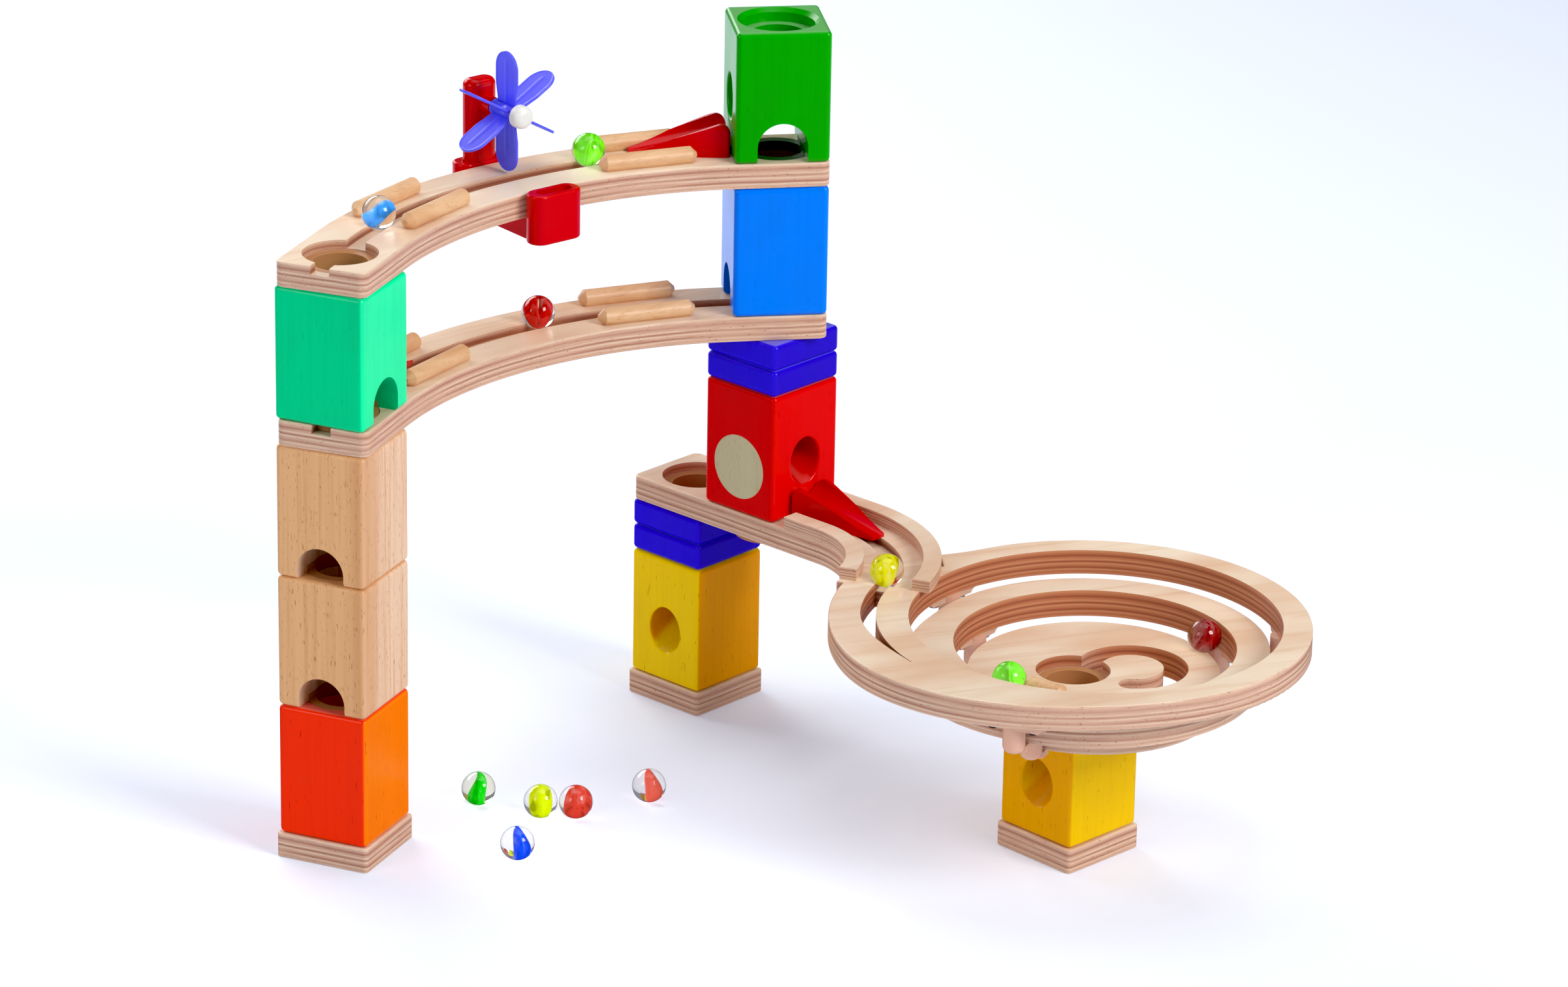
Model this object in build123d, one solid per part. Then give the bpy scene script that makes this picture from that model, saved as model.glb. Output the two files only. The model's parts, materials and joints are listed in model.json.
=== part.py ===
from build123d import *
import math
import os

# Wooden marble run: four towers of stacked blocks, two curved rails, a launch rail and a stepped
# spiral. Millimetres, +Z up, origin at the centre of the bounding box's bottom face.
# Towers are placed from the tall tower's axis, and everything is moved to the origin at the end.

# ---------------------------------------------------------------- driving dimensions
BLOCK = 45.0                 # block width and depth
BLOCK_H = 64.0               # block height: four spacers and one rail
SPACER_H = 13.0
PLY = 12.0                   # thickness of rails, plates and spiral levels
BASE_W = 47.0
MARBLE_R = 8.0

BORE_R = 12.5                # marble bore through blocks and rings
RING_R = 17.0                # connector ring, outside
SOCKET_R = 17.4              # socket that takes the ring of the piece above
SOCKET_DEPTH = 4.5
RING_DROP = 4.0              # how far a ring stands out below its own piece
RING_SEAT = 3.0              # how far it is pressed up into a block
RAIL_RING_SEAT = 7.5         # how far it is pressed up into a rail
HOLE_Z = 26.0                # side exit hole's centre above the block's bottom
EXIT_R = 9.9
EXIT_RIM = 1.2               # rounding of the exit hole's rim
ARCH_R = 12.0
ARCH_H = 19.5
LOW_ARCH_H = 16.6            # the natural blocks' arches are lower
EDGE_R = 2.4                 # rounding of the blocks' edges
PLY_EDGE_R = 0.8
CORNER_R = 4.0               # corners of the rails in plan

GROOVE_W = 9.5
GROOVE_DEPTH = 4.0
RAIL_TURN = 60.0             # a curved rail's turn
HOLE_TO_HOLE = 252.0         # a curved rail's two holes
RAIL_END = 22.5              # straight length each side of a rail's hole

LEFT_BEARING = 219.1         # direction from the tall tower to the left tower
LEFT_YAW = -24.0             # turn of each tower's blocks
TOP_YAW = 8.0
LAUNCH_YAW = -43.0           # direction of the launch rail
RIGHT_YAW = -46.0
MIDDLE_STEP = 48.0           # launch rail's two holes
RIGHT_X = 140.8
RIGHT_Y = -145.6

# heights of the interfaces between the stacked pieces
BASE_TOP = PLY
LEFT_1 = BASE_TOP + BLOCK_H
LEFT_2 = LEFT_1 + BLOCK_H
LOW_RAIL = LEFT_2 + BLOCK_H
LEFT_4 = LOW_RAIL + PLY
TOP_RAIL = LEFT_4 + BLOCK_H
TOP_DECK = TOP_RAIL + PLY
MIDDLE_1 = BASE_TOP + BLOCK_H
MIDDLE_2 = MIDDLE_1 + SPACER_H
LAUNCH = MIDDLE_2 + SPACER_H
LAUNCH_TOP = LAUNCH + PLY
RED_TOP = LAUNCH_TOP + BLOCK_H
RED_2 = RED_TOP + SPACER_H

RAIL_R = HOLE_TO_HOLE - 2 * RAIL_END * math.cos(math.radians(RAIL_TURN / 2))
OVER = 1.0                   # how far a cutter runs past the face that it opens

LEFT_X = HOLE_TO_HOLE * math.cos(math.radians(LEFT_BEARING))
LEFT_Y = HOLE_TO_HOLE * math.sin(math.radians(LEFT_BEARING))
MIDDLE_X = -MIDDLE_STEP * math.cos(math.radians(LAUNCH_YAW))
MIDDLE_Y = -MIDDLE_STEP * math.sin(math.radians(LAUNCH_YAW))


def polar(radius, degrees, centre=(0.0, 0.0)):
    angle = math.radians(degrees)
    return (centre[0] + radius * math.cos(angle), centre[1] + radius * math.sin(angle))


def place(shape, x, y, z, yaw=0.0):
    return Pos(x, y, z) * (Rot(0, 0, yaw) * shape)


def rod(radius, z_low, z_high, x=0.0, y=0.0):
    return Pos(x, y, (z_low + z_high) / 2) * Cylinder(radius, z_high - z_low)


def slab(x0, x1, y0, y1, z0, z1):
    return Pos((x0 + x1) / 2, (y0 + y1) / 2, (z0 + z1) / 2) * Box(x1 - x0, y1 - y0, z1 - z0)


def group(shapes):
    """Separate solids in one node."""
    return Compound([solid for shape in shapes for solid in shape.solids()])


def vertical_edges(shape):
    return shape.edges().filter_by(Axis.Z)


# ---------------------------------------------------------------- blocks
def plain_block(width, height, edge=EDGE_R):
    body = slab(-width / 2, width / 2, -width / 2, width / 2, 0, height)
    return fillet(body.edges(), edge)


def ring_joint(body, height):
    body -= rod(RING_R, -OVER, RING_SEAT)
    return body - rod(SOCKET_R, height - SOCKET_DEPTH, height + OVER)


def through_bore(body, height):
    return body - rod(BORE_R, -OVER, height + OVER)


def arch_cutter(length, height=ARCH_H):
    """A round-topped tunnel along X, from the centre out through the +X face."""
    straight = height - ARCH_R
    cutter = slab(0, length, -ARCH_R, ARCH_R, -OVER, straight)
    return cutter + Pos(length / 2, 0, straight) * (Rot(0, 90, 0) * Cylinder(ARCH_R, length))


def turned(shape, side):
    return Rot(0, 0, side) * shape


def spacer():
    body = plain_block(BLOCK, SPACER_H)
    return through_bore(ring_joint(body, SPACER_H), SPACER_H)


def passing_block(arch_sides, arch_height=ARCH_H):
    """Marbles drop straight through, and arches let them in or out at the bottom."""
    body = through_bore(ring_joint(plain_block(BLOCK, BLOCK_H), BLOCK_H), BLOCK_H)
    for side in arch_sides:
        body -= turned(arch_cutter(BLOCK / 2 + OVER, arch_height), side)
    return body


DROP_END = HOLE_Z + 13.0     # where the drop bore meets the sloping exit bore
PLUG_R = 15.9                # plug that closes the red block's second exit
PLUG_T = 6.0
PLUG_Z = 23.4
MOUTH = 2.0                  # chamfer round the start block's socket


def exit_block(exit_side, arch_sides=(), start=False):
    """Marbles drop from the top and roll out of a side hole down a sloping bore."""
    body = ring_joint(plain_block(BLOCK, BLOCK_H), BLOCK_H)
    body -= rod(BORE_R, DROP_END, BLOCK_H + OVER)
    body -= Pos(0, 0, DROP_END) * Sphere(BORE_R)
    reach = BLOCK / 2 + 8.0
    drop = (DROP_END - HOLE_Z) / (BLOCK / 2)
    slope = math.degrees(math.atan(drop))
    length = reach / math.cos(math.radians(slope))
    bore = Rot(0, 90 + slope, 0) * (Pos(0, 0, length / 2) * Cylinder(EXIT_R, length))
    body -= turned(Pos(0, 0, DROP_END) * bore, exit_side)
    mouth = Rot(0, 0, exit_side) * Pos(BLOCK / 2, 0, HOLE_Z)
    rim = body.edges().filter_by(GeomType.ELLIPSE).sort_by_distance(mouth.position)[0]
    body = fillet(rim, EXIT_RIM)
    for side in arch_sides:
        body -= turned(arch_cutter(BLOCK / 2 + OVER), side)
    if start:
        body -= rod(SOCKET_R, BLOCK_H - SOCKET_DEPTH - MOUTH, BLOCK_H)
        body -= Pos(0, 0, BLOCK_H - MOUTH / 2) * Cone(SOCKET_R, SOCKET_R + MOUTH, MOUTH)
    return body


def connector_ring(seat, arch_sides=()):
    body = rod(RING_R, -RING_DROP, seat) - rod(BORE_R, -RING_DROP - OVER, seat + OVER)
    for side in arch_sides:
        body -= turned(arch_cutter(BLOCK / 2), side) & slab(-30, 30, -30, 30, 0, 30)
    return body


def soften(plate):
    """Rounds a plywood plate's top and bottom outlines."""
    faces = plate.faces().sort_by(Axis.Z)
    edges = faces[-1].outer_wire().edges() + faces[0].outer_wire().edges()
    return fillet(edges, PLY_EDGE_R)


def rounded_square(width, corner, z0, z1):
    return Pos(0, 0, z0) * extrude(RectangleRounded(width, width, corner), z1 - z0)


def base_plate():
    body = soften(rounded_square(BASE_W, CORNER_R / 2, 0, PLY))
    return body - rod(SOCKET_R, PLY - SOCKET_DEPTH, PLY + OVER)


# ---------------------------------------------------------------- curved rails
# The tall tower's hole is at (0, 0); the rail leaves it straight, turns left, and ends straight.
START_BEARING = LEFT_BEARING - RAIL_TURN / 2
END_BEARING = LEFT_BEARING + RAIL_TURN / 2
ARC_START = polar(RAIL_END, START_BEARING)
ARC_CENTRE = polar(RAIL_R, START_BEARING + 90, ARC_START)
ARC_FIRST = START_BEARING - 90
MID_ANGLE = ARC_FIRST + RAIL_TURN / 2


def sector(inner, outer, first, last, z0, z1, centre=(0.0, 0.0)):
    """Part of a flat ring between two angles, with square ends."""
    middle = (first + last) / 2
    line = ThreePointArc(
        polar(outer, first, centre), polar(outer, middle, centre), polar(outer, last, centre)
    )
    line += Line(polar(outer, last, centre), polar(inner, last, centre))
    line += ThreePointArc(
        polar(inner, last, centre), polar(inner, middle, centre), polar(inner, first, centre)
    )
    line += Line(polar(inner, first, centre), polar(outer, first, centre))
    return Pos(0, 0, z0) * extrude(make_face(line), z1 - z0)


def straight(x, y, bearing, back, ahead, width, z0, z1):
    return place(slab(-back, ahead, -width / 2, width / 2, z0, z1), x, y, 0, bearing)


def curved_strip(width, ends, z0, z1):
    half = width / 2
    strip = sector(RAIL_R - half, RAIL_R + half, ARC_FIRST, ARC_FIRST + RAIL_TURN, z0, z1, ARC_CENTRE)
    strip += straight(0, 0, START_BEARING, ends, RAIL_END, width, z0, z1)
    strip += straight(LEFT_X, LEFT_Y, END_BEARING, RAIL_END, ends, width, z0, z1)
    return strip


def rail_hole(body, x, y):
    body -= rod(RING_R, -OVER, RAIL_RING_SEAT, x, y)
    return body - rod(SOCKET_R, RAIL_RING_SEAT, PLY + OVER, x, y)


def curved_rail():
    body = curved_strip(BLOCK, 0, 0, PLY)
    end = rounded_square(BLOCK, CORNER_R, 0, PLY)
    body += place(end, 0, 0, 0, START_BEARING) + place(end, LEFT_X, LEFT_Y, 0, END_BEARING)
    body = soften(body)
    body -= curved_strip(GROOVE_W, BLOCK / 2 + OVER, PLY - GROOVE_DEPTH, PLY + OVER)
    body = rail_hole(body, 0, 0)
    return rail_hole(body, LEFT_X, LEFT_Y)


# guard pegs: chamfered dowels with a flat underside, on each side of the groove
PEG_R = 4.2
PEG_LENGTH = 48.0
PEG_POINT = 2.8              # chamfer at the dowel's ends
PEG_FLAT = 0.9               # height of the flat above the dowel's lowest line
PEG_ANGLE = 18.0             # either side of the rail's middle
PEG_OUT = 13.6
PEG_IN = 14.4


def guard_peg(length=PEG_LENGTH):
    dowel = Rot(0, 90, 0) * Cylinder(PEG_R, length)
    dowel = chamfer(dowel.edges(), PEG_POINT)
    dowel -= slab(-length, length, -PEG_R * 2, PEG_R * 2, -PEG_R * 2, -PEG_R + PEG_FLAT)
    return Pos(0, 0, PEG_R - PEG_FLAT) * dowel


def rail_pegs(z):
    pegs = []
    for side in (-1, 1):
        angle = MID_ANGLE + side * PEG_ANGLE
        for radius in (RAIL_R + PEG_OUT, RAIL_R - PEG_IN):
            x, y = polar(radius, angle, ARC_CENTRE)
            pegs.append(place(guard_peg(), x, y, z, angle + 90))
    return group(pegs)


# ---------------------------------------------------------------- ramps
RAMP_REACH = 47.0            # from the block's face to the tip
RAMP_WIDE = 23.0
RAMP_TIP = 8.0
RAMP_TALL = 16.0
RAMP_GAP = 0.9               # room for a block that sits a little turned on its ring
RAMP_LIP = 2.6               # height of the sides at the tip
RAMP_SHOULDER = 5.0          # rounding of the sides' tops beside the block
RAMP_ENTRY = 9.5             # height of the trough's bottom beside the block
RAMP_EXIT = 0.9              # and at the tip
TROUGH_R = MARBLE_R


def ramp():
    """A tapered trough that starts at a block's +X face and runs down along +X."""
    x0 = BLOCK / 2 + RAMP_GAP
    x1 = x0 + RAMP_REACH
    plan = Polyline(
        (x0, -RAMP_WIDE / 2), (x1, -RAMP_TIP / 2), (x1, RAMP_TIP / 2), (x0, RAMP_WIDE / 2), close=True
    )
    body = extrude(make_face(plan), RAMP_TALL)
    side = make_face(Polyline(
        (x0, 0), (x1, 0), (x1, RAMP_LIP), (x0 + RAMP_SHOULDER, RAMP_TALL), (x0, RAMP_TALL), close=True,
    ))
    side = fillet(side.vertices().group_by(Axis.Y)[-1].sort_by(Axis.X)[0], RAMP_SHOULDER - 0.4)
    body &= extrude(Plane.XZ * side, RAMP_WIDE, both=True)
    slope = math.degrees(math.atan((RAMP_ENTRY - RAMP_EXIT) / RAMP_REACH))
    trough = Rot(0, 90 + slope, 0) * Cylinder(TROUGH_R, RAMP_REACH * 3)
    body -= Pos(x1, 0, TROUGH_R + RAMP_EXIT) * trough
    back = vertical_edges(body).group_by(Axis.X)[0]
    return fillet([back[0], back[-1]], 2.0)


# ---------------------------------------------------------------- launch rail
WALL_H = 6.0
WALL_W = 8.5
BEND_START = 50.8            # along the launch rail from the tall tower's hole
BEND_R = 66.0
BEND_TURN = 69.0
BOARD_TURN = 46.0            # the board ends here, and the spiral's neck carries on
JOINT_GAP = 0.1              # degrees between the board's end and the neck
BEND_CENTRE = polar(BEND_R, LAUNCH_YAW - 90, polar(BEND_START, LAUNCH_YAW))
BEND_FIRST = LAUNCH_YAW + 90


def launch_board():
    half = BLOCK / 2
    body = straight(0, 0, LAUNCH_YAW, MIDDLE_STEP, BEND_START, BLOCK, 0, PLY)
    body += place(rounded_square(BLOCK, CORNER_R, 0, PLY), MIDDLE_X, MIDDLE_Y, 0, LAUNCH_YAW)
    last = BEND_FIRST - BOARD_TURN
    body += sector(BEND_R - half, BEND_R + half, last, BEND_FIRST, 0, PLY, BEND_CENTRE)
    body = soften(body)
    groove = sector(
        BEND_R - GROOVE_W / 2, BEND_R + GROOVE_W / 2, last - 5, BEND_FIRST,
        PLY - GROOVE_DEPTH, PLY + OVER, BEND_CENTRE,
    )
    body -= groove
    body = rail_hole(body, 0, 0)
    return rail_hole(body, MIDDLE_X, MIDDLE_Y)


def guard_wall(outer_side, straight_back):
    """A raised strip along one edge of the launch rail, round the bend."""
    offset = BLOCK / 2 - WALL_W / 2
    radius = BEND_R + (offset if outer_side else -offset)
    body = sector(
        radius - WALL_W / 2, radius + WALL_W / 2, BEND_FIRST - BEND_TURN, BEND_FIRST,
        0, WALL_H, BEND_CENTRE,
    )
    x, y = polar(offset, LAUNCH_YAW + (90 if outer_side else -90))
    body += straight(x, y, LAUNCH_YAW, -straight_back, BEND_START, WALL_W, 0, WALL_H)
    return body


# ---------------------------------------------------------------- spiral
SPIRAL = (150.5, -145.0)     # centre of the rings
RING_1_OUT = 100.0
RING_1_IN = 86.5
RING_2_OUT = 80.8
RING_2_IN = 65.5
DISC_OUT = 58.3
RING_2_BULGE = (12.5, -118.0)    # how far, and which way, the middle level reaches under the top one
DISC_BULGE = (10.5, -100.0)      # and the bottom level under the middle one
BULGE = 23.5                 # how far the outer strip stands out round the slot
SLOT_IN = 101.5
SLOT_OUT = 108.8
SLOT_FIRST = 158.0           # angles round the spiral's centre
SLOT_LAST = 212.0
LEVEL = [LAUNCH_TOP, LAUNCH_TOP - PLY, LAUNCH_TOP - PLY - SPACER_H]   # the levels' tops
LEVEL_LOW = [LEVEL[1], LEVEL[2], LEVEL[2] - SPACER_H]                 # and undersides


def ease(t):
    t = min(max(t, 0.0), 1.0)
    return t * t * (3 - 2 * t)


def outer_radius(angle):
    """The top level's outline: round at the right, and further out round the slot."""
    return RING_1_OUT + BULGE * ease((angle - 120) / 40) * ease((285 - angle) / 85)


def top_level():
    top = LEVEL[0]
    low = LEVEL_LOW[0]
    steps = 24
    first = 110.0
    last = 290.0
    points = []
    for i in range(steps + 1):
        angle = first + (last - first) * i / steps
        points.append(polar(outer_radius(angle), angle, SPIRAL))
    line = Spline(*points)
    line += Line(points[-1], SPIRAL)
    line += Line(SPIRAL, points[0])
    body = Pos(0, 0, low) * extrude(make_face(line), PLY)
    body += rod(RING_1_OUT, low, top, *SPIRAL)
    half = BLOCK / 2
    neck_first = BEND_FIRST - BEND_TURN - 4
    neck_last = BEND_FIRST - BOARD_TURN - JOINT_GAP
    body += sector(BEND_R - half, BEND_R + half, neck_first, neck_last, low, top, BEND_CENTRE)
    corner = polar(BEND_R + half, neck_last, BEND_CENTRE)
    neck = Polyline(
        corner, polar(RING_1_OUT - 1, 112, SPIRAL), polar(RING_1_OUT - 6, 130, SPIRAL),
        polar(BEND_R + half - 4, neck_first, BEND_CENTRE), close=True,
    )
    body += Pos(0, 0, low) * extrude(make_face(neck), PLY)
    joint = BEND_FIRST - BOARD_TURN - JOINT_GAP
    board = sector(BEND_R - half - 1, BEND_R + half + 1, joint, BEND_FIRST, low - 1, top + 1, BEND_CENTRE)
    body -= board
    body = soften(body)
    body -= rod(RING_1_IN, low - OVER, top + OVER, *SPIRAL)
    # the slot: even round the inlet, then closing to a point
    outer = []
    for i in range(9):
        t = i / 8
        angle = SLOT_FIRST + (SLOT_LAST - SLOT_FIRST) * t
        radius = SLOT_OUT - (SLOT_OUT - SLOT_IN - 0.3) * ease((t - 0.35) / 0.65)
        outer.append(polar(radius, angle, SPIRAL))
    slot = Spline(*outer)
    slot += Line(outer[-1], polar(SLOT_IN, SLOT_LAST, SPIRAL))
    slot += ThreePointArc(
        polar(SLOT_IN, SLOT_LAST, SPIRAL), polar(SLOT_IN, (SLOT_FIRST + SLOT_LAST) / 2, SPIRAL),
        polar(SLOT_IN, SLOT_FIRST, SPIRAL),
    )
    slot += Line(polar(SLOT_IN, SLOT_FIRST, SPIRAL), outer[0])
    body -= Pos(0, 0, low - OVER) * extrude(make_face(slot), PLY + 2 * OVER)
    groove = sector(
        BEND_R - GROOVE_W / 2, BEND_R + GROOVE_W / 2, BEND_FIRST - BEND_TURN, neck_last + 3,
        top - GROOVE_DEPTH, top + OVER, BEND_CENTRE,
    )
    return body - groove


def bulged_disc(radius, bulge, z0, z1):
    """A disc stretched one way, so that it reaches under the level above."""
    reach, direction = bulge
    x, y = polar(reach, direction, SPIRAL)
    between = straight(*SPIRAL, direction, 0, reach, 2 * radius, z0, z1)
    return rod(radius, z0, z1, *SPIRAL) + between + rod(radius, z0, z1, x, y)


def reach_at(radius, bulge, angle):
    """How far a stretched disc's rim is from the spiral's centre at an angle."""
    reach, direction = bulge
    off = math.radians(angle - direction)
    if math.cos(off) <= 0:
        return radius
    return reach * math.cos(off) + math.sqrt(radius ** 2 - (reach * math.sin(off)) ** 2)


def middle_level():
    body = bulged_disc(RING_2_OUT, RING_2_BULGE, LEVEL_LOW[1], LEVEL[1])
    return body - rod(RING_2_IN, LEVEL_LOW[1] - OVER, LEVEL[1] + OVER, *SPIRAL)


LOBE = (168.5, -141.0)       # centre of the crescent slot
CRESCENT_OUT = 26.0
CRESCENT_IN = 14.5


def bottom_level():
    low = LEVEL_LOW[2]
    top = LEVEL[2]
    body = bulged_disc(DISC_OUT, DISC_BULGE, low, top)
    crescent = sector(CRESCENT_IN, CRESCENT_OUT, -95, 160, low - OVER, top + OVER, LOBE)
    x, y = polar((CRESCENT_IN + CRESCENT_OUT) / 2, -95, LOBE)
    crescent += rod((CRESCENT_OUT - CRESCENT_IN) / 2, low - OVER, top + OVER, x, y)
    body -= crescent
    body -= rod(RING_R, low - OVER, low + RAIL_RING_SEAT, RIGHT_X, RIGHT_Y)
    return body - rod(SOCKET_R, low + RAIL_RING_SEAT, top + OVER, RIGHT_X, RIGHT_Y)


SPIRAL_PEG = (127.2, -177.5)
SPIRAL_PEG_LENGTH = 22.0
SPIRAL_PEG_YAW = -38.0
UPPER_BRACKETS = [9.0, 138.0, -114.0]    # angles round the spiral's centre
LOWER_BRACKETS = [27.0, 143.0, -115.0]
BRACKET_GAP = 3.8            # least room between the levels' edges for the boss
FLANGE = 3.0
FLANGE_OUT = 7.0             # how far a bracket reaches under the ring above
FLANGE_W = 34.0
FLANGE_FLAT = 27.0           # the flange's full thickness ends here and sweeps up to its thin ends
FLANGE_THIN = 0.8
FOOT_IN = 5.2                # how far it reaches under the ring below
FOOT_W = 10.0
BOSS_R = 5.2
BOSS_X = 1.8                 # the boss's centre outside the upper ring's inner edge
SCREW_R = 1.3
SCREW_HEAD_R = 2.6
SCREW_HEAD_H = 1.5
SCREW_BITE = 6.0             # length of screw in the wood
SCREW_SIDE = 9.5


def bracket(outer_edge, inner_edge, upper_low, lower_low):
    """Joins the underside of the level above, outside outer_edge, to the level below. Lies along +X."""
    low = lower_low - FLANGE
    half = FLANGE_W / 2
    flat = FLANGE_FLAT / 2
    sweep = ((half + flat) / 2 - 0.5, -(FLANGE + FLANGE_THIN) / 2 + 0.4)
    outline = [
        Line((-half, 0), (half, 0)),
        Line((half, 0), (half, -FLANGE_THIN)),
        ThreePointArc((half, -FLANGE_THIN), sweep, (flat, -FLANGE)),
        Line((flat, -FLANGE), (-flat, -FLANGE)),
        ThreePointArc((-flat, -FLANGE), (-sweep[0], sweep[1]), (-half, -FLANGE_THIN)),
        Line((-half, -FLANGE_THIN), (-half, 0)),
    ]
    flange = Pos(outer_edge, 0, upper_low) * extrude(Plane.YZ * make_face(outline), FLANGE_OUT)
    boss = rod(BOSS_R, low, upper_low, outer_edge + BOSS_X)
    boss = fillet(boss.edges().group_by(Axis.Z)[0], BOSS_R - 1.4)
    foot = slab(inner_edge - FOOT_IN, outer_edge, -FOOT_W / 2, FOOT_W / 2, low, low + FLANGE)
    foot = fillet(vertical_edges(foot).group_by(Axis.X)[0], 2.5)
    return flange + boss + foot


def screw(x, y, z):
    """A pan-head screw driven upwards, its head under z."""
    head = fillet(rod(SCREW_HEAD_R, z - SCREW_HEAD_H, z, x, y).edges().group_by(Axis.Z)[0], 0.7)
    return head + rod(SCREW_R, z - 0.5, z + FLANGE + SCREW_BITE, x, y)


def bracket_set(upper_edge, lower_radius, lower_bulge, step, angles):
    """Brackets and their screws between one level, whose hole has radius upper_edge, and the next."""
    upper_low = LEVEL_LOW[step]
    lower_low = LEVEL_LOW[step + 1]
    brackets = []
    screws = []
    for angle in angles:
        inner_edge = reach_at(lower_radius, lower_bulge, angle)
        outer_edge = max(upper_edge, inner_edge + BRACKET_GAP)
        one = bracket(outer_edge, inner_edge, upper_low, lower_low)
        places = [(outer_edge + FLANGE_OUT / 2, side * SCREW_SIDE, upper_low - FLANGE) for side in (-1, 1)]
        places.append((inner_edge - FOOT_IN / 2, 0, lower_low - FLANGE))
        for x, y, z in places:
            one -= rod(SCREW_R, z - OVER, z + FLANGE + OVER, x, y)
            screws.append(place(screw(x, y, z), *SPIRAL, 0, angle))
        brackets.append(place(one, *SPIRAL, 0, angle))
    return brackets, screws


# ---------------------------------------------------------------- windmill
WIND_ANGLE = MID_ANGLE - 0.6
CLIP_W = 28.0
CLIP_D = 12.5
CLIP_EDGE_R = 1.2
CLIP_LOW = TOP_RAIL - 10.5
CLIP_TOP = TOP_DECK + 1.5
AXLE_Z = TOP_DECK + 30.0
AXLE_R = 1.5
BLADE_R = 29.0
BLADE_T = 1.6
POST_TOP = AXLE_Z + 11.0
ROTOR_LENGTH = 17.5
NEAR = RAIL_R - BLOCK / 2 - 0.8      # clip faces beside the rail, along the radius
FAR = RAIL_R + BLOCK / 2 + 0.15
ROTOR_BACK = FAR - 7.0
ROTOR_FRONT = ROTOR_BACK - ROTOR_LENGTH


def stadium(x, length, width, z0, z1):
    """An upright block with rounded sides, long across the radius."""
    shape = SlotOverall(length, width, rotation=90)
    return Pos(x, 0, z0) * extrude(shape, z1 - z0)


def windmill_clip():
    body = slab(NEAR - CLIP_D / 2, FAR + CLIP_D / 2, -10, 10, CLIP_LOW, TOP_RAIL - 0.1)
    for x in (NEAR - CLIP_D / 2, FAR + CLIP_D / 2):
        socket = stadium(x, CLIP_W, CLIP_D, CLIP_LOW, CLIP_TOP)
        levels = socket.edges().group_by(Axis.Z)
        socket = fillet(levels[-1] + levels[0], CLIP_EDGE_R)
        body += socket
    for x in (NEAR - CLIP_D / 2, FAR + CLIP_D / 2):
        body -= stadium(x, 19.0, 6.0, CLIP_TOP - 16, CLIP_TOP + OVER)
    return body


def windmill_post():
    x = FAR + CLIP_D / 2
    post = stadium(x, 16.5, 10.5, CLIP_TOP, POST_TOP)
    post = fillet(post.edges().group_by(Axis.Z)[-1], 3.5)
    post += stadium(x, 18.8, 5.8, CLIP_TOP - 15.5, CLIP_TOP + 1)
    boss_start = ROTOR_BACK + 0.5
    boss = Pos((boss_start + x) / 2, 0, AXLE_Z) * (Rot(0, 90, 0) * Cylinder(4.0, x - boss_start))
    post += boss
    return post - Pos(x - 4, 0, AXLE_Z) * (Rot(0, 90, 0) * Cylinder(AXLE_R, 16.0))


CAP_LENGTH = 6.0


def along_radius(radius, x0, x1):
    return Pos((x0 + x1) / 2, 0, AXLE_Z) * (Rot(0, 90, 0) * Cylinder(radius, x1 - x0))


def windmill_rotor():
    hub = along_radius(4.3, ROTOR_FRONT, ROTOR_BACK)
    blade_w = ROTOR_BACK - ROTOR_FRONT - 1.0
    tip = blade_w / 2
    paddle = RectangleRounded(blade_w, 2 * BLADE_R, tip - 0.1)
    paddle = extrude(Plane.XZ * paddle, BLADE_T / 2, both=True)
    middle = (ROTOR_BACK + ROTOR_FRONT) / 2
    for i in range(3):
        hub += Pos(middle, 0, AXLE_Z) * (Rot(60 * i, 0, 0) * paddle)
    return hub - along_radius(AXLE_R + 0.06, ROTOR_FRONT - OVER, ROTOR_BACK + OVER)


def windmill_axle():
    return along_radius(AXLE_R, ROTOR_FRONT - 4.0, FAR + CLIP_D / 2 + 4.0)


def windmill_cap():
    cap = along_radius(5.5, ROTOR_FRONT - 0.4 - CAP_LENGTH, ROTOR_FRONT - 0.4)
    cap = fillet(cap.edges().group_by(Axis.X)[0], 3.5)
    return cap - along_radius(AXLE_R, ROTOR_FRONT - 4.0, ROTOR_FRONT + OVER)


def on_rail(shape):
    return place(shape, *ARC_CENTRE, 0, WIND_ANGLE)


# ---------------------------------------------------------------- marbles
GROOVE_RISE = math.sqrt(MARBLE_R ** 2 - (GROOVE_W / 2) ** 2) + 0.02
RAIL_MARBLES = {
    "marble_light_green": (117.8, TOP_DECK),
    "marble_blue": (154.3, TOP_DECK),
    "marble_red": (125.0, LEFT_4),
}
FLOOR_MARBLES = {
    "marble_floor_green": (-135.8, -108.0),
    "marble_floor_yellow": (-106.0, -121.8),
    "marble_floor_red": (-89.4, -121.8),
    "marble_floor_orange": (-55.4, -101.7),
    "marble_floor_blue": (-115.1, -169.9),
}


def marble(x, y, z):
    return Pos(x, y, z) * Sphere(MARBLE_R)


# ---------------------------------------------------------------- assembly
def stack_rings(x, y, yaw, seats):
    rings = []
    for z, seat, arches in seats:
        rings.append(place(connector_ring(seat, arches), x, y, z, yaw))
    return rings


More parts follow.
